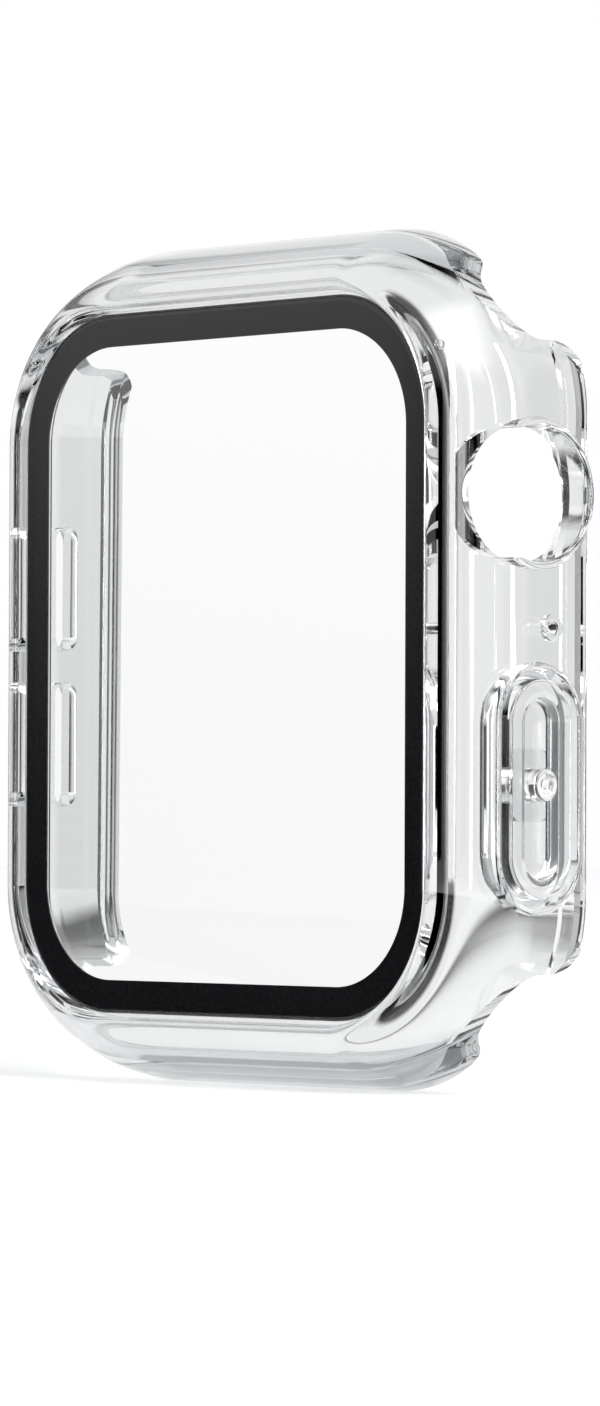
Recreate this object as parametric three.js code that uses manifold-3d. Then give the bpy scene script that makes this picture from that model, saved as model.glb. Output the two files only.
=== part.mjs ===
import * as THREE from 'three';
import { mergeVertices } from 'three/addons/utils/BufferGeometryUtils.js';
import Module from 'manifold-3d';

const wasm = await Module();
wasm.setup();

// Driving dimensions in millimetres. X points to the button side, Y from front to back, Z up.
// The origin is the centre of the glass pane's back face.

// Clear space inside the bumper, and the walls around it.
const cavityWidth = 38.3;
const cavityHeight = 45.3;
const sideWall = 1.35;
const endWall = 2.05;

// Tempered glass pane with a ground front edge.
const paneWidth = 34.8;
const paneHeight = 41.2;
const paneThickness = 0.45;
const paneCornerRadius = 7.6;
const paneBevelWidth = 0.4;
const paneBevelDepth = 0.22;
const paneBackBevel = 0.08;
const paneSeatMargin = 0.3;

// Opaque border printed on the back of the pane, and the bonding ring behind it.
const borderWidth = 1.95;
const borderThickness = 0.1;
const borderInset = 0.1;
const adhesiveWidth = 1.1;
const adhesiveThickness = 0.15;
const adhesiveInset = 0.18;

// Bumper section: ledge under the pane, raised lip, long outer roll, straight walls, holding bead.
const ledgeReach = 1.35;
const ledgeThickness = 0.6;
const paneClearance = 0.2;
const lipHeight = 0.55;
const lipInnerRound = 0.25;
const crestWidth = 0.1;
const rollDepth = 6.2;
const shoulderDepth = 3.9;
const sideDepth = 9.3;
const backRound = 0.3;
const beadHeight = 0.35;
const beadLength = 1.2;
const beadRamp = 0.5;

// Notch at each end, behind the short end wall: it dips forward at the corners and meets the side
// walls in a rounded shoulder.
const endDepth = 5.3;
const endEdgeSetback = 1.6;
const dipLead = 1.5;
const dipSetback = 4;
const notchReach = 6.83;
const notchFloorLead = 2.9;
const notchShoulderRadius = 2.1;

// Round port in the button side, with a raised collar and a flat finger recess in front of it.
const portDepth = 4.97;
const portHeight = 9.12;
const portRadius = 3.85;
const collarRadius = 4.3;
const collarRise = 0.5;
const collarRound = 0.22;
const portMouthBevel = 0.2;
const recessRadius = 3.68;
const recessLead = 1.84;
const recessFloorBelow = 1.4;

// Small rimmed sound hole between the port and the button.
const soundHoleDepth = 6.2;
const soundHoleHeight = 1.6;
const soundHoleRadius = 0.35;
const soundRimRadius = 0.78;
const soundRimRise = 0.25;
const soundRimRound = 0.12;

// Two slots for sound in the other side wall, one above the other, with a bridge between them.
const slotDepth = 4.9;
const slotWidth = 1.8;
const slotLength = 7.5;
const slotBridge = 1.85;

// Window for the button, framed by a raised ridge.
const buttonDepth = 5.25;
const buttonHeight = -7.43;
const windowWidth = 6.1;
const windowLength = 13.5;
const ridgeWidthAcross = 0.95;
const ridgeWidthAlong = 0.4;
const ridgeRise = 0.35;
const ridgeSlopeAcross = 0.5;
const ridgeSlopeAlong = 0.18;
const ridgeRound = 0.12;

// Button cover: a long pill with a recess in its face and a hole through its floor.
const coverGap = 0.55;
const coverRise = 0.1;
const coverRound = 0.18;
const coverFloor = 0.35;
const coverFloorDepth = 0.9;
const coverRimWidth = 1.1;
const coverRecessDraft = 0.14;

// Pusher: a round peg on a plate, set through the cover's floor from behind.
const pusherWidth = 3.2;
const pusherLength = 4.1;
const pusherThickness = 0.35;
const pusherCornerRadius = 0.6;
const pegRadius = 0.92;
const pegProud = 0.4;
const pegRound = 0.2;
const pegDimpleRadius = 0.5;
const pegDimpleDepth = 0.18;
const pegClearance = 0.08;

// Flexible seal that fills the gap around the cover.
const sealOuterGap = 0.05;
const sealInnerGap = 0.12;
const sealThickness = 0.5;
const sealInset = 0.2;
const sealRound = 0.1;

// Every cut runs past the surface that it opens by this much.
const overrun = 1.5;

// Counts and shape exponents.
const cornerSteps = 12;
const rollSteps = 11;
const shoulderSteps = 6;
const roundSteps = 3;
const circleSteps = 48;
const smallCircleSteps = 24;
const capsuleSteps = 8;
const rollExponent = 1.62;
const shoulderExponent = 2;

// Sizes that follow from the ones above.
const outerHalfWidth = cavityWidth / 2 + sideWall;
const outerHalfHeight = cavityHeight / 2 + endWall;
const endEdgeHeight = outerHalfHeight - endEdgeSetback;
const dipDepth = endDepth - dipLead;
const dipHeight = outerHalfHeight - dipSetback;
const notchHalfGap = outerHalfHeight - notchReach;
const notchFloorDepth = sideDepth - notchFloorLead;
const paneHalfWidth = paneWidth / 2;
const paneHalfHeight = paneHeight / 2;
const ledgeFront = borderThickness + adhesiveThickness;
const ledgeBack = ledgeFront + ledgeThickness;
const crestDepth = -paneThickness - lipHeight;
const crestOffset = paneClearance + lipInnerRound;
const windowCorner = windowWidth / 2;
const coverHalfWidth = windowWidth / 2 - coverGap;
const coverHalfLength = windowLength / 2 - coverGap;
const ridgeTop = outerHalfWidth + ridgeRise;
const coverTop = ridgeTop + coverRise;
const coverFloorFace = coverTop - coverFloorDepth;
const coverBack = coverFloorFace - coverFloor;

const material = (color, roughness, opacity = 1) =>
  new THREE.MeshStandardMaterial({
    color,
    roughness,
    metalness: 0,
    opacity,
    transparent: opacity < 1,
  });

// Outline of a rounded rectangle as points [across, along], anticlockwise from its right side.
function roundedOutline(halfWidth, halfLength, radius, steps = cornerSteps) {
  const corners = [
    [1, 1],
    [-1, 1],
    [-1, -1],
    [1, -1],
  ];
  return corners.flatMap(([across, along], quarter) =>
    Array.from({ length: steps + 1 }, (_, step) => {
      const angle = ((quarter + step / steps) * Math.PI) / 2;
      return [
        across * (halfWidth - radius) + radius * Math.cos(angle),
        along * (halfLength - radius) + radius * Math.sin(angle),
      ];
    }),
  );
}

// Ways to stand an outline in space: in a plane that faces the front, or one that faces the side.
const facingFront = ([across, along], depth) => [across, depth, along];
const facingSide = (centre) => ([across, along], height) => [
  height,
  centre.depth + across,
  centre.height + along,
];

// Six times the volume that a triangle spans with the origin.
const spanned = ([a, b, c]) => new THREE.Vector3().crossVectors(b, c).dot(a);

// A geometry from triangles of points, turned to face outwards.
function closedGeometry(triangles) {
  const corners = triangles.map((triangle) => triangle.map((p) => new THREE.Vector3(...p)));
  const volume = corners.reduce((sum, triangle) => sum + spanned(triangle), 0);
  const ordered = volume < 0 ? corners.map(([a, b, c]) => [a, c, b]) : corners;
  return new THREE.BufferGeometry().setFromPoints(ordered.flat());
}

// Skin between rings of matching points: closed on itself, or capped at its first and last ring.
function loft(rings, closed) {
  const triangles = [];
  const count = rings[0].length;
  const bands = closed ? rings.length : rings.length - 1;
  for (let band = 0; band < bands; band += 1) {
    const near = rings[band];
    const far = rings[(band + 1) % rings.length];
    for (let i = 0; i < count; i += 1) {
      const j = (i + 1) % count;
      triangles.push([near[i], near[j], far[j]], [near[i], far[j], far[i]]);
    }
  }
  if (!closed) {
    const last = rings[rings.length - 1];
    for (let i = 1; i < count - 1; i += 1) {
      triangles.push([rings[0][0], rings[0][i + 1], rings[0][i]]);
      triangles.push([last[0], last[i], last[i + 1]]);
    }
  }
  return closedGeometry(triangles);
}

// Turns a three.js geometry into a solid, with shared vertices merged and flat slivers dropped.
function solidOf(geometry) {
  const bare = geometry.index ? geometry.toNonIndexed() : geometry.clone();
  bare.deleteAttribute('normal');
  bare.deleteAttribute('uv');
  const merged = mergeVertices(bare, overrun * 1e-5);
  const kept = [];
  for (let i = 0; i < merged.index.count; i += 3) {
    const [a, b, c] = [0, 1, 2].map((k) => merged.index.getX(i + k));
    if (a !== b && b !== c && c !== a) kept.push(a, b, c);
  }
  const mesh = new wasm.Mesh({
    numProp: 3,
    vertProperties: merged.attributes.position.array,
    triVerts: new Uint32Array(kept),
  });
  return new wasm.Manifold(mesh);
}

function geometryOf(solid) {
  const mesh = solid.getMesh();
  return new THREE.BufferGeometry()
    .setAttribute('position', new THREE.BufferAttribute(mesh.vertProperties, 3))
    .setIndex(new THREE.BufferAttribute(mesh.triVerts, 1));
}

// A profile of [radius, height] points turned about an axis that points to the button side.
function turned(profile, centre, steps = circleSteps) {
  const points = profile.map(([radius, height]) => new THREE.Vector2(radius, height));
  return new THREE.LatheGeometry(points, steps)
    .rotateZ(-Math.PI / 2)
    .translate(0, centre.depth, centre.height);
}

const rod = (radius, start, end, centre, steps) =>
  turned([[0, start], [radius, start], [radius, end], [0, end]], centre, steps);

// A straight pill or rounded block that runs along X.
function sideBlock(halfWidth, halfLength, radius, start, end, centre, steps = capsuleSteps) {
  const outline = roundedOutline(halfWidth, halfLength, radius, steps);
  const place = facingSide(centre);
  return loft([start, end].map((height) => outline.map((p) => place(p, height))), false);
}

// Rings that follow the pane's outline at an offset, which may differ at the sides and ends.
function paneRing(sideOffset, endOffset, depth) {
  const outline = roundedOutline(
    paneHalfWidth + sideOffset,
    paneHalfHeight + endOffset,
    paneCornerRadius + (sideOffset + endOffset) / 2,
  );
  return outline.map((point) => facingFront(point, depth));
}

// Quarter of a superellipse as [outward share, depth share] pairs, from crest to wall.
const quarterShares = (steps, exponent) =>
  Array.from({ length: steps + 1 }, (_, step) => {
    const angle = ((step / steps) * Math.PI) / 2;
    return [Math.sin(angle) ** (2 / exponent), 1 - Math.cos(angle) ** (2 / exponent)];
  });

// The bumper's section, carried round the pane's outline.
function bumperShell() {
  const outer = {
    side: outerHalfWidth - paneHalfWidth,
    end: outerHalfHeight - paneHalfHeight,
  };
  const inner = { side: outer.side - sideWall, end: outer.end - endWall };
  const rings = [];
  const ring = (side, end, depth) => rings.push(paneRing(side, end, depth));
  const level = (offset, depth) => ring(offset, offset, depth);
  const towards = (from, to, share) => from + (to - from) * share;

  level(-ledgeReach, ledgeFront);
  level(paneClearance, ledgeFront);
  quarterShares(roundSteps, 2).forEach(([outShare, downShare]) => {
    const rise = towards(crestDepth + lipInnerRound, crestDepth, outShare);
    level(paneClearance + lipInnerRound * downShare, rise);
  });
  quarterShares(rollSteps, rollExponent).forEach(([outShare, downShare]) => {
    const start = crestOffset + crestWidth;
    const depth = towards(crestDepth, crestDepth + rollDepth, downShare);
    ring(towards(start, outer.side, outShare), towards(start, outer.end, outShare), depth);
  });
  quarterShares(roundSteps, 2).forEach(([outShare, downShare]) => {
    const inset = backRound * downShare;
    ring(outer.side - inset, outer.end - inset, sideDepth - backRound * (1 - outShare));
  });
  ring(inner.side, inner.end, sideDepth);
  ring(inner.side - beadHeight, inner.end - beadHeight, sideDepth - backRound);
  ring(inner.side - beadHeight, inner.end - beadHeight, sideDepth - beadLength);
  ring(inner.side, inner.end, sideDepth - beadLength - beadRamp);
  quarterShares(shoulderSteps, shoulderExponent)
    .reverse()
    .forEach(([outShare, downShare]) => {
      const depth = ledgeBack + shoulderDepth * downShare;
      ring(inner.side * outShare, inner.end * outShare, depth);
    });
  level(-ledgeReach, ledgeBack);
  return solidOf(loft(rings, true));
}

// The space cut away behind an end wall, as an outline in depth and height run across the part.
function endNotch() {
  const backEdge = sideDepth + overrun;
  const top = outerHalfHeight + overrun;
  const edgePull = (endEdgeHeight - dipHeight) / 2;
  const dipPull = (dipHeight - notchHalfGap) / 2;
  const floorPull = (notchFloorDepth - dipDepth) / 2;
  const shoulderDepthAt = sideDepth - notchShoulderRadius;
  const shoulderHeightAt = notchHalfGap - notchShoulderRadius;
  const shape = new THREE.Shape();
  shape.moveTo(backEdge, shoulderHeightAt);
  shape.lineTo(backEdge, top);
  shape.lineTo(endDepth, top);
  shape.lineTo(endDepth, endEdgeHeight);
  shape.bezierCurveTo(
    endDepth, endEdgeHeight - edgePull, dipDepth, dipHeight + edgePull, dipDepth, dipHeight,
  );
  shape.bezierCurveTo(
    dipDepth, dipHeight - dipPull, notchFloorDepth - floorPull, notchHalfGap,
    notchFloorDepth, notchHalfGap,
  );
  shape.absarc(shoulderDepthAt, shoulderHeightAt, notchShoulderRadius, Math.PI / 2, 0, true);
  const reach = outerHalfWidth + overrun;
  const geometry = new THREE.ExtrudeGeometry(shape, {
    depth: 2 * reach,
    bevelEnabled: false,
    curveSegments: capsuleSteps,
  });
  const depthHeightAcross = new THREE.Matrix4().makeBasis(
    new THREE.Vector3(0, 1, 0),
    new THREE.Vector3(0, 0, 1),
    new THREE.Vector3(1, 0, 0),
  );
  return geometry.applyMatrix4(depthHeightAcross).translate(-reach, 0, 0);
}

const port = { depth: portDepth, height: portHeight };
const soundHole = { depth: soundHoleDepth, height: soundHoleHeight };
const slotCentre = (slotLength + slotBridge) / 2;
const button = { depth: buttonDepth, height: buttonHeight };
const wallInside = cavityWidth / 2;

// A round boss on the wall, from inside the wall to its rise, with a rounded outer edge.
function boss(radius, rise, round, centre, steps) {
  const top = outerHalfWidth + rise;
  const edge = quarterShares(roundSteps, 2).map(([outShare, downShare]) => [
    radius - round * (1 - outShare),
    top - round * downShare,
  ]);
  const start = wallInside + sideWall / 2;
  return turned([[0, start], [radius, start], ...edge.reverse(), [0, top]], centre, steps);
}

function portCut() {
  const start = wallInside - overrun;
  const top = outerHalfWidth + collarRise;
  const hole = rod(portRadius, start, top + overrun, port);
  const mouth = turned(
    [
      [0, top - portMouthBevel],
      [portRadius, top - portMouthBevel],
      [portRadius + portMouthBevel + overrun, top + overrun],
      [0, top + overrun],
    ],
    port,
  );
  return solidOf(hole).add(solidOf(mouth));
}

function fingerRecess() {
  const centre = { depth: portDepth - recessLead, height: portHeight };
  const floor = outerHalfWidth - recessFloorBelow;
  return solidOf(rod(recessRadius, floor, outerHalfWidth + collarRise + overrun, centre));
}

function buttonRidge() {
  const place = facingSide(button);
  const halfWidth = windowWidth / 2 + ridgeWidthAcross;
  const halfLength = windowLength / 2 + ridgeWidthAlong;
  const ringAt = (acrossInset, alongInset, height) => {
    const width = halfWidth - acrossInset;
    const outline = roundedOutline(width, halfLength - alongInset, width, capsuleSteps);
    return outline.map((point) => place(point, height));
  };
  const rings = [
    ringAt(0, 0, wallInside + sideWall / 2),
    ringAt(0, 0, outerHalfWidth - ridgeRise),
    ringAt(ridgeSlopeAcross, ridgeSlopeAlong, ridgeTop - ridgeRound),
    ringAt(ridgeSlopeAcross + ridgeRound, ridgeSlopeAlong + ridgeRound / 2, ridgeTop),
  ];
  return solidOf(loft(rings, false));
}

function bumperFrame() {
  const notch = endNotch();
  const windowCut = sideBlock(
    windowWidth / 2, windowLength / 2, windowCorner,
    wallInside - overrun, ridgeTop + overrun, button,
  );
  const slotCut = (height) => solidOf(sideBlock(
    slotWidth / 2, slotLength / 2, slotWidth / 2,
    -outerHalfWidth - overrun, -wallInside + overrun, { depth: slotDepth, height },
  ));
  const soundCut = rod(
    soundHoleRadius, wallInside - overrun, outerHalfWidth + overrun, soundHole, smallCircleSteps,
  );
  const soundRim = boss(
    soundRimRadius, soundRimRise, soundRimRound, soundHole, smallCircleSteps,
  );
  return bumperShell()
    .subtract(solidOf(notch))
    .subtract(solidOf(notch.clone().rotateY(Math.PI)))
    .add(solidOf(boss(collarRadius, collarRise, collarRound, port)))
    .add(buttonRidge())
    .add(solidOf(soundRim))
    .subtract(fingerRecess())
    .subtract(portCut())
    .subtract(solidOf(windowCut))
    .subtract(slotCut(slotCentre))
    .subtract(slotCut(-slotCentre))
    .subtract(solidOf(soundCut));
}

function screenPane() {
  const level = (offset, depth) => paneRing(offset, offset, depth);
  return loft(
    [
      level(-borderWidth - paneSeatMargin, 0),
      level(-paneBackBevel, 0),
      level(0, -paneBackBevel),
      level(0, paneBevelDepth - paneThickness),
      level(-paneBevelWidth / 3, (paneBevelDepth / 3) - paneThickness),
      level(-paneBevelWidth, -paneThickness),
    ],
    false,
  );
}

// A flat ring behind the pane, between two offsets from the pane's edge.
function flatRing(outset, inset, front, back) {
  const level = (offset, depth) => paneRing(offset, offset, depth);
  return loft([level(outset, front), level(outset, back), level(inset, back), level(inset, front)], true);
}

const blackBorder = () => flatRing(-borderInset, -borderWidth, 0, borderThickness);

const paneAdhesive = () =>
  flatRing(-adhesiveInset, -adhesiveInset - adhesiveWidth, borderThickness, ledgeFront);

function buttonCover() {
  const place = facingSide(button);
  const ringAt = (inset, height) => {
    const width = coverHalfWidth - inset;
    const outline = roundedOutline(width, coverHalfLength - inset, width, capsuleSteps);
    return outline.map((point) => place(point, height));
  };
  const rings = [
    ringAt(0, coverBack),
    ringAt(0, coverTop - coverRound),
    ringAt(coverRound / 3, coverTop - coverRound / 3),
    ringAt(coverRound, coverTop),
    ringAt(coverRimWidth - coverRound / 2, coverTop),
    ringAt(coverRimWidth, coverTop - coverRound / 2),
    ringAt(coverRimWidth + coverRecessDraft, coverFloorFace),
  ];
  const pegHole = rod(
    pegRadius + pegClearance, coverBack - overrun, coverTop + overrun, button, smallCircleSteps,
  );
  return solidOf(loft(rings, false)).subtract(solidOf(pegHole));
}

function buttonPusher() {
  const top = coverTop + pegProud;
  const plate = sideBlock(
    pusherWidth / 2, pusherLength / 2, pusherCornerRadius,
    coverBack - pusherThickness, coverBack, button, roundSteps,
  );
  const peg = turned(
    [
      [0, coverBack - pusherThickness / 2],
      [pegRadius, coverBack - pusherThickness / 2],
      [pegRadius, top - pegRound],
      [pegRadius - pegRound, top],
      [pegDimpleRadius, top],
      [pegDimpleRadius / 2, top - pegDimpleDepth],
      [0, top - pegDimpleDepth],
    ],
    button,
    smallCircleSteps,
  );
  return solidOf(plate).add(solidOf(peg));
}

function buttonSeal() {
  const place = facingSide(button);
  const back = wallInside + sealInset;
  const front = back + sealThickness;
  const ringAt = (inset, height) => {
    const width = windowWidth / 2 - inset;
    const outline = roundedOutline(width, windowLength / 2 - inset, width, capsuleSteps);
    return outline.map((point) => place(point, height));
  };
  const outerInset = sealOuterGap;
  const innerInset = coverGap - sealInnerGap;
  return loft(
    [
      ringAt(outerInset, back),
      ringAt(outerInset, front - sealRound),
      ringAt(outerInset + sealRound, front),
      ringAt(innerInset - sealRound, front),
      ringAt(innerInset, front - sealRound),
      ringAt(innerInset, back),
    ],
    true,
  );
}

const clearPlastic = material(0xe9edf0, 0.08, 0.35);
const parts = {
  bumper_frame: [geometryOf(bumperFrame()), clearPlastic],
  screen_pane: [screenPane(), material(0xe6eef2, 0.03, 0.3)],
  black_border: [blackBorder(), material(0x0a0a0c, 0.5)],
  pane_adhesive: [paneAdhesive(), material(0xdfe3e4, 0.4, 0.6)],
  button_cover: [geometryOf(buttonCover()), clearPlastic],
  button_pusher: [geometryOf(buttonPusher()), clearPlastic],
  button_seal: [buttonSeal(), material(0xd9dde0, 0.45, 0.5)],
};

const protector = new THREE.Group();
Object.entries(parts).forEach(([name, [geometry, finish]]) => {
  const mesh = new THREE.Mesh(geometry, finish);
  mesh.name = name;
  protector.add(mesh);
});

export default protector;
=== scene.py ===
import math

import bmesh
import bpy
from mathutils import Matrix, Vector


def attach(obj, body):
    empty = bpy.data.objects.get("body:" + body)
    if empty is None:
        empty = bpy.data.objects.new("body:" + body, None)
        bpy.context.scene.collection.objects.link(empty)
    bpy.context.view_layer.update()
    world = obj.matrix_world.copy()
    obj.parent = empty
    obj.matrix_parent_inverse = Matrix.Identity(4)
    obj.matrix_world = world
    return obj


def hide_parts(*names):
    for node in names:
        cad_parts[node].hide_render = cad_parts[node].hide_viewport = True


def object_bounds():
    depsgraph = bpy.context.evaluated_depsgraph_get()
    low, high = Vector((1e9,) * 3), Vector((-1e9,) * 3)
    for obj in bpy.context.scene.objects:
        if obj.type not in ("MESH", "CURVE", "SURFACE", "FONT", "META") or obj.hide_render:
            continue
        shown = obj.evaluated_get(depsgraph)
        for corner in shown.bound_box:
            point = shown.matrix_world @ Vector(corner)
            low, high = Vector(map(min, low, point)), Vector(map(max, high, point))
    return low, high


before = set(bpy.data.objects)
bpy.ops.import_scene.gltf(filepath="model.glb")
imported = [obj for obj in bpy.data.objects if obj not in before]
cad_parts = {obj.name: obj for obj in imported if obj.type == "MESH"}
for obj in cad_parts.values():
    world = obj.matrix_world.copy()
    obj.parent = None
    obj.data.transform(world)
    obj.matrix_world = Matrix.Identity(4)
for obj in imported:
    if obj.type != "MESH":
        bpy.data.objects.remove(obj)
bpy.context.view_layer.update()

mm = 0.001


# Camera: a long lens, a little below the middle of the part.
cameraSettings = {
    "azimuth": 47.36,
    "elevation": -1.13,
    "roll": 0.22,
    "place": (268.08 * mm, -240.83 * mm, -9.55 * mm),
    "lens": 159.6,
}


def addCamera():
    turn = math.radians(cameraSettings["azimuth"])
    rise = math.radians(cameraSettings["elevation"])
    roll = math.radians(cameraSettings["roll"])
    back = Vector((math.sin(turn) * math.cos(rise), -math.cos(turn) * math.cos(rise), math.sin(rise)))
    level = Vector((0, 0, 1)).cross(back).normalized()
    over = back.cross(level)
    right = level * math.cos(roll) + over * math.sin(roll)
    up = over * math.cos(roll) - level * math.sin(roll)
    bpy.ops.object.camera_add()
    camera = bpy.context.object
    camera.name = "productCamera"
    camera.data.lens = cameraSettings["lens"]
    place = Matrix((right, up, back)).transposed().to_4x4()
    place.translation = Vector(cameraSettings["place"])
    camera.matrix_world = place
    bpy.context.scene.camera = camera


addCamera()
print("camera placed")


# Node helpers.
def newMaterial(name):
    material = bpy.data.materials.new(name)
    material.use_nodes = True
    tree = material.node_tree
    return material, tree, tree.nodes["Principled BSDF"]


def link(tree, source, output, target, entry):
    tree.links.new(source.outputs[output], target.inputs[entry])


# What a Math node works out from two values, each a number or another node's output.
def addMath(tree, operation, first, second=0.0):
    node = tree.nodes.new("ShaderNodeMath")
    node.operation = operation
    for entry, value in enumerate((first, second)):
        if isinstance(value, float):
            node.inputs[entry].default_value = value
        else:
            tree.links.new(value, node.inputs[entry])
    return node.outputs["Value"]


def addRange(tree, value, source, result, curve="LINEAR"):
    node = tree.nodes.new("ShaderNodeMapRange")
    node.interpolation_type = curve
    node.inputs["From Min"].default_value, node.inputs["From Max"].default_value = source
    node.inputs["To Min"].default_value, node.inputs["To Max"].default_value = result
    tree.links.new(value, node.inputs["Value"])
    return node.outputs["Result"]


def showMix(tree, share, first, second):
    mix = tree.nodes.new("ShaderNodeMixShader")
    tree.links.new(share, mix.inputs["Fac"])
    tree.links.new(first, mix.inputs[1])
    tree.links.new(second, mix.inputs[2])
    link(tree, mix, "Shader", tree.nodes["Material Output"], "Surface")


def objectNoise(tree, scale, detail):
    place = tree.nodes.new("ShaderNodeTexCoord")
    noise = tree.nodes.new("ShaderNodeTexNoise")
    noise.inputs["Scale"].default_value = scale
    noise.inputs["Detail"].default_value = detail
    link(tree, place, "Object", noise, "Vector")
    return noise.outputs["Fac"]


noiseSettings = {
    "fineDetail": 3.0,
    "plainDetail": 1.0,
    "span": (0.3, 0.7),  # most of a noise's values lie between these
}


def addHaze(tree, shader, noise, roughness):
    tree.links.new(addRange(tree, noise, noiseSettings["span"], roughness), shader.inputs["Roughness"])


def addWaves(tree, shader, look):
    bump = tree.nodes.new("ShaderNodeBump")
    bump.inputs["Strength"].default_value = look["waveStrength"]
    bump.inputs["Distance"].default_value = look["waveDepth"]
    waves = objectNoise(tree, look["waveScale"], noiseSettings["plainDetail"])
    tree.links.new(waves, bump.inputs["Height"])
    link(tree, bump, "Normal", shader, "Normal")


# The renderer gives up on a path after a few bounces and returns black, which leaves black patches deep in
# the clear corners. A path that is already this deep passes straight on, and so does a lamp's light.
deepPath = 4.5


def letLightThrough(tree, shader, tint):
    path = tree.nodes.new("ShaderNodeLightPath")
    clear = tree.nodes.new("ShaderNodeBsdfTransparent")
    clear.inputs["Color"].default_value = (*tint, 1)
    late = addMath(tree, "GREATER_THAN", path.outputs["Ray Depth"], deepPath)
    through = addMath(tree, "MAXIMUM", path.outputs["Is Shadow Ray"], late)
    showMix(tree, through, shader.outputs["BSDF"], clear.outputs["BSDF"])


# Clear materials. Haze changes the roughness from place to place, waves bend what shows through, and the
# shadow is how much of a lamp's light comes through.
clearPlasticLook = {
    "name": "clearPolycarbonate",
    "color": (0.80, 0.81, 0.815),
    "ior": 1.585,
    "hazeScale": 260.0,
    "roughness": (0.004, 0.03),
    "waveScale": 140.0,
    "waveStrength": 0.25,
    "waveDepth": 0.06 * mm,
    "shadow": (0.66, 0.67, 0.68),
}
pegPlasticLook = {
    "name": "pegPolycarbonate",
    "color": (0.96, 0.965, 0.97),
    "ior": 1.585,
    "hazeScale": 900.0,
    "roughness": (0.08, 0.16),
    "waveScale": 900.0,
    "waveStrength": 0.2,
    "waveDepth": 0.02 * mm,
    "shadow": (0.8, 0.8, 0.8),
}
temperedGlassLook = {
    "name": "temperedGlass",
    "color": (0.985, 0.995, 0.99),
    "ior": 1.52,
    "hazeScale": 120.0,
    "roughness": (0.0, 0.008),
    "shadow": (0.93, 0.94, 0.94),
}
adhesiveLook = {
    "name": "clearAdhesive",
    "color": (0.9, 0.91, 0.91),
    "ior": 1.47,
    "hazeScale": 300.0,
    "roughness": (0.05, 0.12),
    "waveScale": 400.0,
    "waveStrength": 0.15,
    "waveDepth": 0.02 * mm,
    "shadow": (0.8, 0.8, 0.8),
}
softSealLook = {
    "name": "softSeal",
    "color": (0.82, 0.84, 0.85),
    "ior": 1.42,
    "hazeScale": 1500.0,
    "roughness": (0.3, 0.45),
    "waveScale": 1800.0,
    "waveStrength": 0.2,
    "waveDepth": 0.02 * mm,
    "shadow": (0.6, 0.6, 0.6),
}


def clearMaterial(look):
    material, tree, shader = newMaterial(look["name"])
    shader.inputs["Base Color"].default_value = (*look["color"], 1)
    shader.inputs["Transmission Weight"].default_value = 1
    shader.inputs["IOR"].default_value = look["ior"]
    haze = objectNoise(tree, look["hazeScale"], noiseSettings["fineDetail"])
    addHaze(tree, shader, haze, look["roughness"])
    if "waveScale" in look:
        addWaves(tree, shader, look)
    letLightThrough(tree, shader, look["shadow"])
    return material


# The print is a dense black ink with a fine grain.
borderLook = {
    "name": "blackBorderPrint",
    "colors": ((0.004, 0.004, 0.005), (0.010, 0.010, 0.012)),
    "colorPlaces": (0.35, 0.65),
    "grainScale": 4000.0,
    "roughness": (0.32, 0.5),
    "specular": 0.05,
}


def borderMaterial():
    material, tree, shader = newMaterial(borderLook["name"])
    grain = objectNoise(tree, borderLook["grainScale"], noiseSettings["fineDetail"])
    ramp = tree.nodes.new("ShaderNodeValToRGB")
    for stop, place, color in zip(ramp.color_ramp.elements, borderLook["colorPlaces"], borderLook["colors"]):
        stop.position = place
        stop.color = (*color, 1)
    tree.links.new(grain, ramp.inputs["Fac"])
    link(tree, ramp, "Color", shader, "Base Color")
    addHaze(tree, shader, grain, borderLook["roughness"])
    shader.inputs["Specular IOR Level"].default_value = borderLook["specular"]
    return material


clearPlastic = clearMaterial(clearPlasticLook)
pegPlastic = clearMaterial(pegPlasticLook)
temperedGlass = clearMaterial(temperedGlassLook)
clearAdhesive = clearMaterial(adhesiveLook)
softSeal = clearMaterial(softSealLook)
borderPrint = borderMaterial()
print("materials made")


# Modelling helpers. A stack is drawn flat, one outline above the other, and then stood in its place.
def deselectAll():
    bpy.ops.object.select_all(action="DESELECT")


def selectOnly(piece):
    deselectAll()
    piece.select_set(True)
    bpy.context.view_layer.objects.active = piece


# Out of edit mode and back, so that the points of each outline are numbered alike.
def settle():
    bpy.ops.object.mode_set(mode="OBJECT")
    bpy.ops.object.mode_set(mode="EDIT")


def startMesh(name):
    deselectAll()
    bpy.ops.mesh.primitive_plane_add(size=1)
    piece = bpy.context.object
    piece.name = name
    piece.data.name = name
    bpy.ops.object.mode_set(mode="EDIT")
    bpy.ops.mesh.select_all(action="SELECT")
    bpy.ops.mesh.delete(type="VERT")
    settle()
    return piece


def addRounded(halfAcross, halfAlong, radius, height, steps):
    bpy.ops.mesh.primitive_plane_add(size=1, location=(0, 0, height))
    bpy.ops.transform.resize(value=(2 * halfAcross, 2 * halfAlong, 1), center_override=(0, 0, height))
    bpy.ops.mesh.bevel(offset_type="OFFSET", offset=radius, segments=steps, affect="VERTICES")
    bpy.ops.mesh.delete(type="ONLY_FACE")
    settle()


# A pill's corners are a hair less than half its width, so that they don't meet in one point.
pillCorner = 0.9995


def addPill(halfAcross, halfAlong, height, steps):
    addRounded(halfAcross, halfAlong, halfAcross * pillCorner, height, steps)


def addCircle(radius, height, steps):
    bpy.ops.mesh.primitive_circle_add(vertices=steps, radius=radius, location=(0, 0, height))
    settle()


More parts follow.
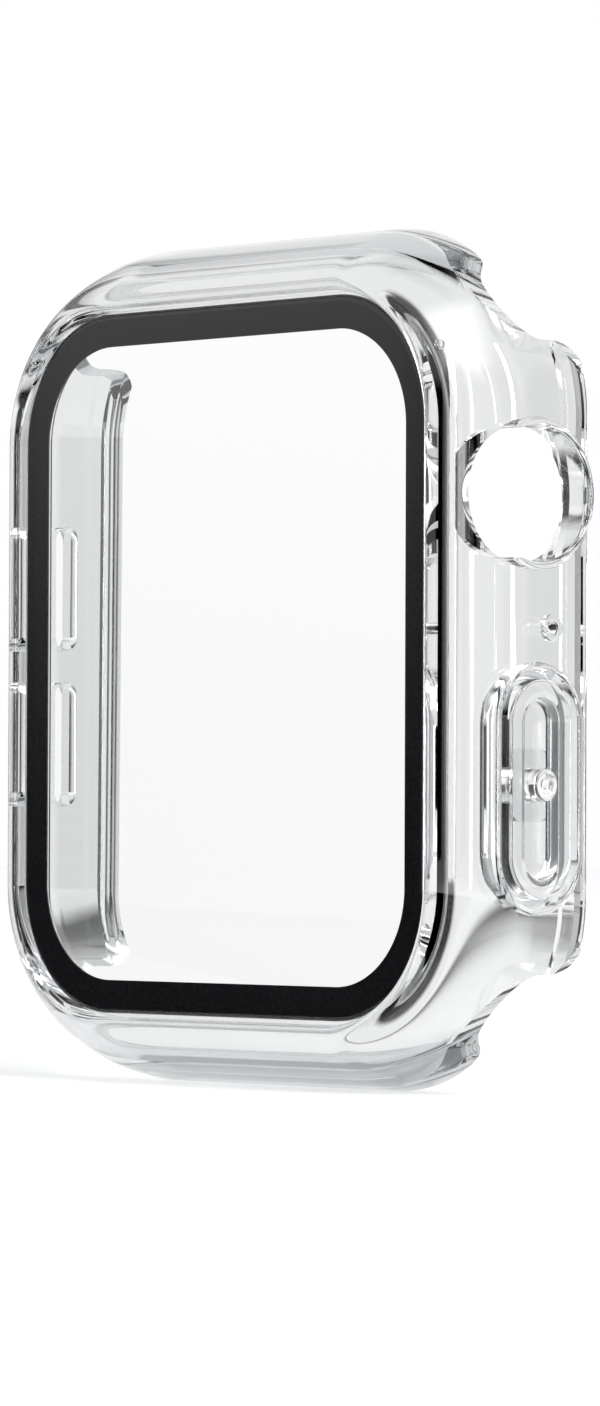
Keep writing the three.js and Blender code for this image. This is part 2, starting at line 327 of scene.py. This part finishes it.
def selectBlock(piece, first, count):
    mesh = bmesh.from_edit_mesh(piece.data)
    mesh.verts.ensure_lookup_table()
    bpy.ops.mesh.select_all(action="DESELECT")
    for vertex in mesh.verts[first:first + count]:
        vertex.select = True
    mesh.select_flush(True)
    bmesh.update_edit_mesh(piece.data)


# Each outline is joined to the next. A closed stack also joins its last outline to its first, and an open
# one gets a face on each end.
def bridgeBlocks(piece, blocks, closed):
    mesh = bmesh.from_edit_mesh(piece.data)
    mesh.verts.ensure_lookup_table()
    size = len(mesh.verts) // blocks
    outline = [[vertex.index for vertex in edge.verts] for edge in mesh.edges]
    outline = [pair for pair in outline if max(pair) < size]
    for block in range(blocks if closed else blocks - 1):
        near, far = block * size, (block + 1) % blocks * size
        for a, b in outline:
            mesh.faces.new([mesh.verts[place] for place in (near + a, near + b, far + b, far + a)])
    bmesh.update_edit_mesh(piece.data)
    if not closed:
        bpy.ops.mesh.select_mode(type="VERT")
        for block in (0, blocks - 1):
            selectBlock(piece, block * size, size)
            bpy.ops.mesh.edge_face_add()


def closeMesh(piece):
    bpy.ops.mesh.select_all(action="SELECT")
    bpy.ops.mesh.normals_make_consistent(inside=False)
    bpy.ops.object.mode_set(mode="OBJECT")


# Local across, along and up become depth, height and outwards on the side wall.
onSide = Matrix(((0, 0, 1, 0), (1, 0, 0, 0), (0, 1, 0, 0), (0, 0, 0, 1)))
# Local across, along and up become X, Z and towards the front.
onFront = Matrix(((1, 0, 0, 0), (0, 0, -1, 0), (0, 1, 0, 0), (0, 0, 0, 1)))


def stand(piece, turn, depth=0.0, height=0.0):
    piece.matrix_world = Matrix.Translation((0, depth, height)) @ turn
    selectOnly(piece)
    bpy.ops.object.transform_apply(location=True, rotation=True, scale=True)


def finishStack(piece, blocks, closed, turn, depth=0.0, height=0.0):
    bridgeBlocks(piece, blocks, closed)
    closeMesh(piece)
    stand(piece, turn, depth, height)
    return piece


def makeTurned(name, profile, steps, depth, height):
    piece = startMesh(name)
    for radius, level in profile:
        addCircle(radius, level, steps)
    return finishStack(piece, len(profile), False, onSide, depth, height)


def makePill(name, profile, steps, depth, height):
    piece = startMesh(name)
    for halfAcross, halfAlong, level in profile:
        addPill(halfAcross, halfAlong, level, steps)
    return finishStack(piece, len(profile), False, onSide, depth, height)


def combine(piece, other, operation):
    selectOnly(piece)
    modifier = piece.modifiers.new("cut", "BOOLEAN")
    modifier.operation = operation
    modifier.solver = "EXACT"
    modifier.object = other
    bpy.ops.object.modifier_apply(modifier=modifier.name)
    bpy.data.objects.remove(other)


def smooth(piece, angle=30):
    selectOnly(piece)
    bpy.ops.object.shade_smooth_by_angle(angle=math.radians(angle))


def dress(piece, material, body, node):
    piece.data.materials.clear()
    piece.data.materials.append(material)
    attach(piece, body)
    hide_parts(node)


# A quarter of a round, as shares of how far out and how far down it is from its top.
def quarter(steps, exponent=2.0):
    angles = [step / steps * math.pi / 2 for step in range(steps + 1)]
    return [(math.sin(a) ** (2 / exponent), 1 - max(math.cos(a), 0) ** (2 / exponent)) for a in angles]


def between(low, high, share):
    return low + (high - low) * share


# The pane's outline, which the rim and the rings behind it follow.
paneShape = {
    "halfWidth": 17.4 * mm,
    "halfHeight": 20.6 * mm,
    "thickness": 0.45 * mm,
    "corner": 7.6 * mm,
    "bevelWidth": 0.4 * mm,
    "bevelDepth": 0.22 * mm,
    "backBevel": 0.08 * mm,
    "cornerSteps": 40,
    "bevelSteps": 5,
}


def addPaneRing(side, end, depth):
    addRounded(
        paneShape["halfWidth"] + side,
        paneShape["halfHeight"] + end,
        paneShape["corner"] + (side + end) / 2,
        -depth,
        paneShape["cornerSteps"],
    )


# Bumper: outlines round the pane, one for each station of the section, bridged into a shell.
bumperShape = {
    "halfWidth": 20.5 * mm,
    "halfHeight": 24.7 * mm,
    "sideWall": 1.35 * mm,
    "endWall": 2.05 * mm,
    "ledgeFront": 0.25 * mm,
    "ledgeReach": 1.35 * mm,
    "ledgeThickness": 0.6 * mm,
    "paneClearance": 0.2 * mm,
    "lipHeight": 0.55 * mm,
    "lipRound": 0.25 * mm,
    "crestWidth": 0.1 * mm,
    "rollDepth": 6.2 * mm,
    "rollExponent": 1.62,
    "shoulderDepth": 3.9 * mm,
    "sideDepth": 9.3 * mm,
    "backRound": 0.3 * mm,
    "beadHeight": 0.35 * mm,
    "beadLength": 1.2 * mm,
    "beadRamp": 0.5 * mm,
    "rollSteps": 36,
    "shoulderSteps": 20,
    "roundSteps": 5,
}


def makeShell():
    s = bumperShape
    outerSide = s["halfWidth"] - paneShape["halfWidth"]
    outerEnd = s["halfHeight"] - paneShape["halfHeight"]
    innerSide = outerSide - s["sideWall"]
    innerEnd = outerEnd - s["endWall"]
    crest = -paneShape["thickness"] - s["lipHeight"]
    crestOffset = s["paneClearance"] + s["lipRound"] + s["crestWidth"]
    ledgeBack = s["ledgeFront"] + s["ledgeThickness"]
    backEdge = s["sideDepth"]
    stations = [(-s["ledgeReach"], -s["ledgeReach"], s["ledgeFront"])]
    stations.append((s["paneClearance"], s["paneClearance"], s["ledgeFront"]))
    for out, down in quarter(s["roundSteps"]):
        offset = s["paneClearance"] + s["lipRound"] * down
        stations.append((offset, offset, between(crest + s["lipRound"], crest, out)))
    for out, down in quarter(s["rollSteps"], s["rollExponent"]):
        side, end = between(crestOffset, outerSide, out), between(crestOffset, outerEnd, out)
        stations.append((side, end, crest + s["rollDepth"] * down))
    for out, down in quarter(s["roundSteps"]):
        inset = s["backRound"] * down
        stations.append((outerSide - inset, outerEnd - inset, backEdge - s["backRound"] * (1 - out)))
    stations.append((innerSide, innerEnd, backEdge))
    bead = (innerSide - s["beadHeight"], innerEnd - s["beadHeight"])
    stations.append((*bead, backEdge - s["backRound"]))
    stations.append((*bead, backEdge - s["beadLength"]))
    stations.append((innerSide, innerEnd, backEdge - s["beadLength"] - s["beadRamp"]))
    for out, down in reversed(quarter(s["shoulderSteps"])):
        stations.append((innerSide * out, innerEnd * out, ledgeBack + s["shoulderDepth"] * down))
    stations.append((-s["ledgeReach"], -s["ledgeReach"], ledgeBack))
    shell = startMesh("clearBumper")
    for side, end, depth in stations:
        addPaneRing(side, end, depth)
    return finishStack(shell, len(stations), True, onFront)


shell = makeShell()
print("shell made:", len(shell.data.vertices), "vertices")


# Bumper cut-outs: the notches behind the end walls, and all that is in the side walls.
overrun = 1.5 * mm  # how far a cutter reaches past what it cuts
flareSteepness = 10  # past the surface a flared cut widens by this part of the overrun
outerWall = bumperShape["halfWidth"]
innerWall = bumperShape["halfWidth"] - bumperShape["sideWall"]
middleWall = bumperShape["halfWidth"] - bumperShape["sideWall"] / 2


# A round boss on the side wall, with a rounded edge.
def bossProfile(radius, top, edge):
    profile = [(radius, middleWall)]
    for out, down in reversed(quarter(bumperShape["roundSteps"])):
        profile.append((radius - edge * (1 - out), top - edge * down))
    return profile


# A cut from inside the wall, whose mouth is flared to a rounded edge.
def flaredProfile(radius, top, flare):
    profile = [(radius, innerWall - overrun), (radius, top - flare)]
    for out, down in quarter(bumperShape["roundSteps"])[1:]:
        profile.append((radius + flare * down, top - flare * (1 - out)))
    profile.append((radius + flare + overrun / flareSteepness, top + overrun))
    return profile


notchShape = {
    "endDepth": 5.3 * mm,
    "endEdgeHeight": 23.1 * mm,
    "dipDepth": 3.8 * mm,
    "dipHeight": 20.7 * mm,
    "halfGap": 17.87 * mm,
    "floorDepth": 6.4 * mm,
    "shoulderRadius": 2.1 * mm,
    "overshoot": 0.004 * mm,
    "curveSteps": 20,
}


# A curve from a to d, pulled towards b and c.
def curvePoints(a, b, c, d, steps):
    points = []
    for step in range(1, steps + 1):
        t = step / steps
        weights = ((1 - t) ** 3, 3 * t * (1 - t) ** 2, 3 * t * t * (1 - t), t ** 3)
        points.append(tuple(sum(w * p[k] for w, p in zip(weights, (a, b, c, d))) for k in (0, 1)))
    return points


# The notch's side view: down the end wall's edge, through the dip, along the floor and over the shoulder.
def notchOutline():
    n = notchShape
    steps = n["curveSteps"]
    back = bumperShape["sideDepth"] + overrun
    top = bumperShape["halfHeight"] + overrun
    edge = (n["endDepth"], n["endEdgeHeight"])
    dip = (n["dipDepth"], n["dipHeight"])
    floor = (n["floorDepth"], n["halfGap"])
    edgePull = (edge[1] - dip[1]) / 2
    dipPull = (dip[1] - floor[1]) / 2
    floorPull = (floor[0] - dip[0]) / 2
    points = [(back, top), (n["endDepth"], top), edge]
    points += curvePoints(edge, (edge[0], edge[1] - edgePull), (dip[0], dip[1] + edgePull), dip, steps)
    points += curvePoints(dip, (dip[0], dip[1] - dipPull), (floor[0] - floorPull, floor[1]), floor, steps)
    shoulderDepth = bumperShape["sideDepth"] - n["shoulderRadius"] + n["overshoot"]
    shoulderHeight = n["halfGap"] - n["shoulderRadius"]
    for step in range(steps + 1):
        angle = math.pi / 2 * (1 - step / steps)
        depth = shoulderDepth + n["shoulderRadius"] * math.cos(angle)
        points.append((depth, shoulderHeight + n["shoulderRadius"] * math.sin(angle)))
    points.append((back, shoulderHeight))
    return points


def makeNotchCutter(sign):
    reach = bumperShape["halfWidth"] + overrun
    corners = [Vector((depth, sign * height, -reach)) for depth, height in notchOutline()]
    cutter = startMesh("notchCutter")
    bpy.ops.mesh.primitive_plane_add(size=1)
    bpy.ops.mesh.merge(type="CENTER")
    bpy.ops.transform.translate(value=corners[0])
    for here, there in zip(corners, corners[1:]):
        bpy.ops.mesh.extrude_region_move(TRANSFORM_OT_translate={"value": there - here})
    bpy.ops.mesh.select_all(action="SELECT")
    bpy.ops.mesh.edge_face_add()
    bpy.ops.mesh.extrude_region_move(TRANSFORM_OT_translate={"value": (0, 0, 2 * reach)})
    closeMesh(cutter)
    stand(cutter, onSide)
    return cutter


# Port: a collar, a flat-floored recess that leads into it, and the round opening.
portShape = {
    "depth": 4.97 * mm,
    "height": 9.12 * mm,
    "radius": 3.85 * mm,
    "collarRadius": 4.3 * mm,
    "collarRise": 0.5 * mm,
    "collarRound": 0.2 * mm,
    "recessRadius": 3.68 * mm,
    "recessLead": 1.84 * mm,
    "recessFloorBelow": 1.4 * mm,
    "steps": 96,
}
collarTop = outerWall + portShape["collarRise"]


def makeCollar():
    p = portShape
    boss = bossProfile(p["collarRadius"], collarTop, p["collarRound"])
    return makeTurned("collar", boss, p["steps"], p["depth"], p["height"])


def makeRecess():
    p = portShape
    floor = outerWall - p["recessFloorBelow"]
    recess = [(p["recessRadius"], level) for level in (floor, collarTop + overrun)]
    return makeTurned("recess", recess, p["steps"], p["depth"] - p["recessLead"], p["height"])


def makePort():
    p = portShape
    port = flaredProfile(p["radius"], collarTop, p["collarRound"])
    return makeTurned("port", port, p["steps"], p["depth"], p["height"])


# Window: a long opening for the button, with a sloped ridge round it.
windowShape = {
    "depth": 5.15 * mm,
    "height": -7.43 * mm,
    "halfWidth": 3.0 * mm,
    "halfLength": 6.75 * mm,
    "ridgeAcross": 0.75 * mm,
    "ridgeAlong": 0.4 * mm,
    "ridgeRise": 0.35 * mm,
    "slopeAcross": 0.5 * mm,
    "slopeAlong": 0.18 * mm,
    "slopeBow": 0.25,
    "slopeSteps": 6,
    "round": 0.12 * mm,
    "steps": 24,
}
ridgeTop = outerWall + windowShape["ridgeRise"]
ridgeFoot = outerWall - windowShape["ridgeRise"]


def makeRidge():
    w = windowShape
    across, along = w["halfWidth"] + w["ridgeAcross"], w["halfLength"] + w["ridgeAlong"]
    slope = [(across, along, middleWall), (across, along, ridgeFoot)]
    for out, down in reversed(quarter(w["slopeSteps"])[:-1]):
        lean = (1 - w["slopeBow"]) * (1 - out) + w["slopeBow"] * down
        slope.append(
            (
                across - w["slopeAcross"] * lean - w["round"] * (1 - out),
                along - w["slopeAlong"] * lean - w["round"] / 2 * (1 - out),
                between(ridgeFoot, ridgeTop, 1 - down),
            )
        )
    return makePill("ridge", slope, w["steps"], w["depth"], w["height"])


def makeWindow():
    w = windowShape
    hole = [
        (w["halfWidth"] + flare, w["halfLength"] + flare, level)
        for flare, level in flaredProfile(0, ridgeTop, w["round"])
    ]
    return makePill("window", hole, w["steps"], w["depth"], w["height"])


# Sound hole: a small round hole with a raised rim.
soundShape = {
    "depth": 6.2 * mm,
    "height": 1.6 * mm,
    "radius": 0.35 * mm,
    "rimRadius": 0.78 * mm,
    "rimRise": 0.25 * mm,
    "rimRound": 0.12 * mm,
    "steps": 40,
}
rimTop = outerWall + soundShape["rimRise"]


def makeSoundRim():
    s = soundShape
    rim = bossProfile(s["rimRadius"], rimTop, s["rimRound"])
    return makeTurned("soundRim", rim, s["steps"], s["depth"], s["height"])


def makeSoundHole():
    s = soundShape
    drill = flaredProfile(s["radius"], rimTop, s["rimRound"])
    return makeTurned("soundHole", drill, s["steps"], s["depth"], s["height"])


# Sound slots: two in the other side wall, one above the other.
slotShape = {
    "depth": 4.9 * mm,
    "halfWidth": 0.9 * mm,
    "halfLength": 3.75 * mm,
    "bridge": 1.85 * mm,
    "steps": 16,
}


def makeSlot(sign):
    s = slotShape
    levels = (-outerWall - overrun, -innerWall + overrun)
    slit = [(s["halfWidth"], s["halfLength"], level) for level in levels]
    return makePill("slot", slit, s["steps"], s["depth"], sign * (s["halfLength"] + s["bridge"] / 2))


# The small dimple that the mould's gate leaves, pressed in with a ball.
gateMark = {
    "place": (17.98 * mm, -0.08 * mm, 17.33 * mm),
    "outwards": (0.727, -0.585, 0.359),
    "radius": 0.28 * mm,
    "sink": 0.1 * mm,
    "subdivisions": 5,
}


def makeGateBall():
    g = gateMark
    ball = (g["radius"] ** 2 + g["sink"] ** 2) / (2 * g["sink"])
    centre = Vector(g["place"]) + Vector(g["outwards"]).normalized() * (ball - g["sink"])
    deselectAll()
    bpy.ops.mesh.primitive_ico_sphere_add(subdivisions=g["subdivisions"], radius=ball, location=centre)
    piece = bpy.context.object
    bpy.ops.object.transform_apply(location=True, rotation=True, scale=True)
    return piece


def cutBumper():
    combine(shell, makeNotchCutter(1), "DIFFERENCE")
    combine(shell, makeNotchCutter(-1), "DIFFERENCE")
    combine(shell, makeCollar(), "UNION")
    combine(shell, makeRidge(), "UNION")
    combine(shell, makeSoundRim(), "UNION")
    combine(shell, makeRecess(), "DIFFERENCE")
    combine(shell, makePort(), "DIFFERENCE")
    combine(shell, makeWindow(), "DIFFERENCE")
    combine(shell, makeSlot(1), "DIFFERENCE")
    combine(shell, makeSlot(-1), "DIFFERENCE")
    combine(shell, makeSoundHole(), "DIFFERENCE")
    combine(shell, makeGateBall(), "DIFFERENCE")


cutBumper()
smooth(shell)
dress(shell, clearPlastic, "protector", "bumper_frame")
print("bumper cut:", len(shell.data.polygons), "faces")


# Pane: one sheet of glass with a ground front edge.
def makePane():
    p = paneShape
    rings = [(-p["backBevel"], 0.0), (0.0, -p["backBevel"]), (0.0, p["bevelDepth"] - p["thickness"])]
    for out, down in quarter(p["bevelSteps"])[1:]:
        rings.append((-p["bevelWidth"] * down, -p["thickness"] + p["bevelDepth"] * (1 - out)))
    pane = startMesh("glassPane")
    for offset, depth in rings:
        addPaneRing(offset, offset, depth)
    finishStack(pane, len(rings), False, onFront)
    smooth(pane)
    dress(pane, temperedGlass, "protector", "screen_pane")


# Flat rings behind the pane. The print starts a hair inside the glass, so that no air shows between them.
borderShape = {
    "outset": -0.1 * mm,
    "inset": -1.95 * mm,
    "front": -0.01 * mm,
    "back": 0.1 * mm,
}
adhesiveShape = {
    "outset": -0.18 * mm,
    "inset": -1.28 * mm,
    "front": 0.105 * mm,
    "back": 0.24 * mm,
}


def makeFlatRing(name, shape, material, node):
    corners = (("outset", "front"), ("outset", "back"), ("inset", "back"), ("inset", "front"))
    ring = startMesh(name)
    for offset, depth in corners:
        addPaneRing(shape[offset], shape[offset], shape[depth])
    finishStack(ring, len(corners), True, onFront)
    smooth(ring)
    dress(ring, material, "protector", node)


makePane()
makeFlatRing("printedBorder", borderShape, borderPrint, "black_border")
makeFlatRing("bondingRing", adhesiveShape, clearAdhesive, "pane_adhesive")
print("pane and rings made")


# Button: a pill cover with a recess, a peg on a plate through its floor, and a soft ring round it.
coverShape = {
    "gap": 0.58 * mm,
    "rise": 0.1 * mm,
    "round": 0.18 * mm,
    "floor": 0.35 * mm,
    "floorDepth": 0.9 * mm,
    "rimWidth": 1.1 * mm,
    "draft": 0.14 * mm,
    "pegClearance": 0.08 * mm,
    "roundSteps": 4,
    "lipSteps": 3,
    "steps": 24,
}
pusherShape = {
    "halfWidth": 1.6 * mm,
    "halfLength": 2.05 * mm,
    "thickness": 0.35 * mm,
    "corner": 0.6 * mm,
    "cornerSteps": 10,
    "lift": 0.2 * mm,
    "pegRadius": 0.92 * mm,
    "pegProud": 0.4 * mm,
    "pegRound": 0.2 * mm,
    "roundSteps": 5,
    "dimpleRadius": 0.5 * mm,
    "dimpleDepth": 0.18 * mm,
    "dimpleRings": ((1, 0), (0.8, 0.6), (0.5, 0.9), (0.2, 1)),  # shares of its radius and of its depth
    "airGap": 0.015 * mm,  # between the plate and the cover's floor, so that the clear faces don't coincide
    "steps": 48,
}
sealShape = {
    "outerGap": 0.05 * mm,
    "innerInset": 0.43 * mm,
    "inset": 0.2 * mm,
    "thickness": 0.5 * mm,
    "round": 0.1 * mm,
    "smoothAngle": 50,
}
coverTop = ridgeTop + coverShape["rise"]
coverFloorFace = coverTop - coverShape["floorDepth"]
coverBack = coverFloorFace - coverShape["floor"]
pusherHeight = windowShape["height"] + pusherShape["lift"]


def makeCover():
    c = coverShape
    halfWidth = windowShape["halfWidth"] - c["gap"]
    halfLength = windowShape["halfLength"] - c["gap"]
    rings = [(0.0, coverBack)]
    for out, down in reversed(quarter(c["roundSteps"])):
        rings.append((c["round"] * (1 - out), coverTop - c["round"] * down))
    lip = c["round"] / 2
    for out, down in quarter(c["lipSteps"]):
        rings.append((c["rimWidth"] - lip * (1 - out), coverTop - lip * down))
    rings.append((c["rimWidth"] + c["draft"], coverFloorFace))
    profile = [(halfWidth - inset, halfLength - inset, level) for inset, level in rings]
    cover = makePill("buttonCover", profile, c["steps"], windowShape["depth"], windowShape["height"])
    hole = pusherShape["pegRadius"] + c["pegClearance"]
    drill = [(hole, coverBack - overrun), (hole, coverTop + overrun)]
    tool = makeTurned("pegHole", drill, pusherShape["steps"], windowShape["depth"], pusherHeight)
    combine(cover, tool, "DIFFERENCE")
    smooth(cover)
    dress(cover, clearPlastic, "button", "button_cover")


def makePusher():
    p = pusherShape
    plate = startMesh("pushPeg")
    levels = (coverBack - p["thickness"], coverBack - p["airGap"])
    for level in levels:
        addRounded(p["halfWidth"], p["halfLength"], p["corner"], level, p["cornerSteps"])
    finishStack(plate, len(levels), False, onSide, windowShape["depth"], pusherHeight)
    top = coverTop + p["pegProud"]
    profile = [(p["pegRadius"], coverBack - p["thickness"] / 2)]
    for out, down in reversed(quarter(p["roundSteps"])):
        profile.append((p["pegRadius"] - p["pegRound"] * (1 - out), top - p["pegRound"] * down))
    for across, down in p["dimpleRings"]:
        profile.append((p["dimpleRadius"] * across, top - p["dimpleDepth"] * down))
    peg = makeTurned("peg", profile, p["steps"], windowShape["depth"], pusherHeight)
    combine(plate, peg, "UNION")
    smooth(plate)
    dress(plate, pegPlastic, "button", "button_pusher")


def makeSeal():
    s = sealShape
    back = innerWall + s["inset"]
    front = back + s["thickness"]
    outer, inner = s["outerGap"], s["innerInset"]
    rings = (
        (outer, back),
        (outer, front - s["round"]),
        (outer + s["round"], front),
        (inner - s["round"], front),
        (inner, front - s["round"]),
        (inner, back),
    )
    w = windowShape
    seal = startMesh("sealRing")
    for inset, level in rings:
        addPill(w["halfWidth"] - inset, w["halfLength"] - inset, level, w["steps"])
    finishStack(seal, len(rings), True, onSide, w["depth"], w["height"])
    smooth(seal, s["smoothAngle"])
    dress(seal, softSeal, "protector", "button_seal")


makeCover()
makePusher()
makeSeal()
print("button made")


# Studio: a pale floor, white surroundings, a soft light overhead, two narrow strips, and dark cards for the
# clear pieces to bend and reflect. Each light and card stands at a turn from the front towards the right, in
# degrees, at a distance from the part.
studio = {
    "floorSize": 3.0,
    "floorColor": (0.8, 0.8, 0.8),
    "floorReach": (0.05, 0.4),
    "floorGlow": (0.28, 0.61),
    "fill": 0.45,
    "white": 1.0,
}
strips = [
    {"name": "rightStrip", "turn": 70, "away": 0.5, "height": 0.05, "size": (0.07, 0.7), "power": 2.2},
    {"name": "sideStrip", "turn": 112, "away": 0.5, "height": 0.05, "size": (0.02, 0.7), "power": 0.6},
]
target = Vector((0, 0.004, 0))  # what the lights and the upright cards face
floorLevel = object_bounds()[0].z


# What the camera sees, directly or in gloss and glass, as against the light that falls on the part.
def seenDirectly(tree):
    path = tree.nodes.new("ShaderNodeLightPath")
    seen = addMath(tree, "MAXIMUM", path.outputs["Is Camera Ray"], path.outputs["Is Glossy Ray"])
    return addMath(tree, "MAXIMUM", seen, path.outputs["Is Transmission Ray"])


# The floor glows more with distance, so that it is white at the horizon and keeps the part's shadow.
def makeFloor():
    deselectAll()
    bpy.ops.mesh.primitive_plane_add(size=studio["floorSize"], location=(0, 0, floorLevel))
    floor = bpy.context.object
    floor.name = "paleFloor"
    material, tree, shader = newMaterial("paleFloor")
    tree.nodes.remove(shader)
    diffuse = tree.nodes.new("ShaderNodeBsdfDiffuse")
    diffuse.inputs["Color"].default_value = (*studio["floorColor"], 1)
    place = tree.nodes.new("ShaderNodeTexCoord")
    away = tree.nodes.new("ShaderNodeVectorMath")
    away.operation = "LENGTH"
    link(tree, place, "Object", away, 0)
    level = addRange(tree, away.outputs["Value"], studio["floorReach"], studio["floorGlow"])
    glow = tree.nodes.new("ShaderNodeEmission")
    tree.links.new(addMath(tree, "MULTIPLY", seenDirectly(tree), level), glow.inputs["Strength"])
    both = tree.nodes.new("ShaderNodeAddShader")
    link(tree, diffuse, "BSDF", both, 0)
    link(tree, glow, "Emission", both, 1)
    link(tree, both, "Shader", tree.nodes["Material Output"], "Surface")
    floor.data.materials.append(material)


def makeWorld():
    world = bpy.data.worlds.new("studioWorld")
    bpy.context.scene.world = world
    world.use_nodes = True
    tree = world.node_tree
    background = tree.nodes["Background"]
    background.inputs["Color"].default_value = (1, 1, 1, 1)
    level = addRange(tree, seenDirectly(tree), (0, 1), (studio["fill"], studio["white"]))
    tree.links.new(level, background.inputs["Strength"])


def placeAround(turn, away, height):
    angle = math.radians(turn)
    return Vector((away * math.sin(angle), -away * math.cos(angle), height))


def standAround(thing, settings):
    thing.location = placeAround(settings["turn"], settings["away"], settings["height"])
    thing.rotation_euler = (thing.location - target).to_track_quat("Z", "Y").to_euler()


def addStrips():
    for strip in strips:
        bpy.ops.object.light_add(type="AREA")
        lamp = bpy.context.object
        lamp.name = strip["name"]
        lamp.data.shape = "RECTANGLE"
        lamp.data.size, lamp.data.size_y = strip["size"]
        lamp.data.energy = strip["power"]
        lamp.visible_camera = False
        standAround(lamp, strip)


makeFloor()
makeWorld()
addStrips()
print("floor, surroundings and strips made")


# Cards. A card is black in its middle, or glows, and is clear at its edges. Soft is how wide its edge is, as
# a share of its size, and deep is how much it hides of what is behind it.
topSoftbox = {
    "name": "topSoftbox",
    "turn": 80,
    "away": 0.36,
    "height": 0.44,
    "size": (0.55, 0.5),
    "soft": 0.3,
    "glow": 5.0,
}
darkCards = [
    {
        "name": "paneCard",
        "turn": -50,
        "away": 0.6,
        "height": -0.08,
        "size": (0.8, 0.5),
        "soft": 0.4,
        "seenThrough": False,
    },
    {
        "name": "behindRightCard",
        "turn": 196,
        "away": 0.6,
        "height": 0.05,
        "size": (0.36, 0.9),
        "soft": 0.25,
        "tailAbove": 0.6 * mm,
    },
    {
        "name": "behindLeftCard",
        "turn": 245,
        "away": 0.6,
        "height": 0.05,
        "size": (0.2, 0.9),
        "soft": 0.25,
        "tailAbove": 1.2 * mm,
    },
    {
        "name": "rearEdgeCard",
        "turn": 262,
        "away": 0.65,
        "height": 0.05,
        "size": (0.3, 0.9),
        "soft": 0.25,
        "deep": 0.45,
        "tailAbove": 1.8 * mm,
    },
    {"name": "sideCard", "turn": 132, "away": 0.6, "height": 0.05, "size": (0.30, 0.9), "soft": 0.25},
    {"name": "cameraCard", "turn": 46, "away": 0.8, "height": 0.0, "size": (0.30, 0.9), "soft": 0.2},
    {"name": "overheadCard", "turn": 227, "away": 0.15, "height": 0.6, "size": (0.5, 0.3), "soft": 0.3},
]
floorCard = {
    "name": "floorCard",
    "place": (-0.15, -0.228),
    "above": 0.5 * mm,
    "size": (0.8, 0.45),
    "soft": 0.01,
    "seenThrough": False,
}
tailShape = {
    "start": 0.045,
    "length": 0.75,
    "width": 0.7,
}


def cardMaterial(card):
    material, tree, shader = newMaterial(card["name"])
    tree.nodes.remove(shader)
    place = tree.nodes.new("ShaderNodeTexCoord")
    split = tree.nodes.new("ShaderNodeSeparateXYZ")
    link(tree, place, "Object", split, "Vector")
    across = addMath(tree, "ABSOLUTE", split.outputs["X"])
    along = addMath(tree, "ABSOLUTE", split.outputs["Y"])
    far = addMath(tree, "MAXIMUM", across, along)
    edge = 0.5  # a card's own coordinates end here
    fade = addRange(tree, far, (edge - card["soft"], edge), (1 - card.get("deep", 1.0), 1), "SMOOTHSTEP")
    middle = tree.nodes.new("ShaderNodeEmission")
    middle.inputs["Strength"].default_value = card.get("glow", 0.0)
    clear = tree.nodes.new("ShaderNodeBsdfTransparent")
    showMix(tree, fade, middle.outputs["Emission"], clear.outputs["BSDF"])
    return material


def addCard(card):
    deselectAll()
    bpy.ops.mesh.primitive_plane_add(size=1)
    sheet = bpy.context.object
    sheet.name = card["name"]
    sheet.scale = (*card["size"], 1)
    sheet.visible_camera = False
    sheet.visible_diffuse = "glow" in card
    sheet.visible_transmission = card.get("seenThrough", True)
    sheet.visible_shadow = False
    sheet.data.materials.append(cardMaterial(card))
    return sheet


# A tail lies on the floor and carries a card's darkness on below the horizon, from close behind the part.
def addTail(card):
    size = (card["size"][0] * tailShape["width"], tailShape["length"])
    tail = addCard({**card, "name": card["name"] + "Tail", "size": size})
    middle = tailShape["start"] + tailShape["length"] / 2
    tail.location = placeAround(card["turn"], middle, floorLevel + card["tailAbove"])
    tail.rotation_euler = (0, 0, math.radians(card["turn"]) + math.pi)


def addCards():
    for card in [topSoftbox] + darkCards:
        standAround(addCard(card), card)
        if "tailAbove" in card:
            addTail(card)
    sheet = addCard(floorCard)
    sheet.location = (*floorCard["place"], floorLevel + floorCard["above"])


addCards()
bpy.context.scene.view_settings.view_transform = "Standard"
print("cards made")
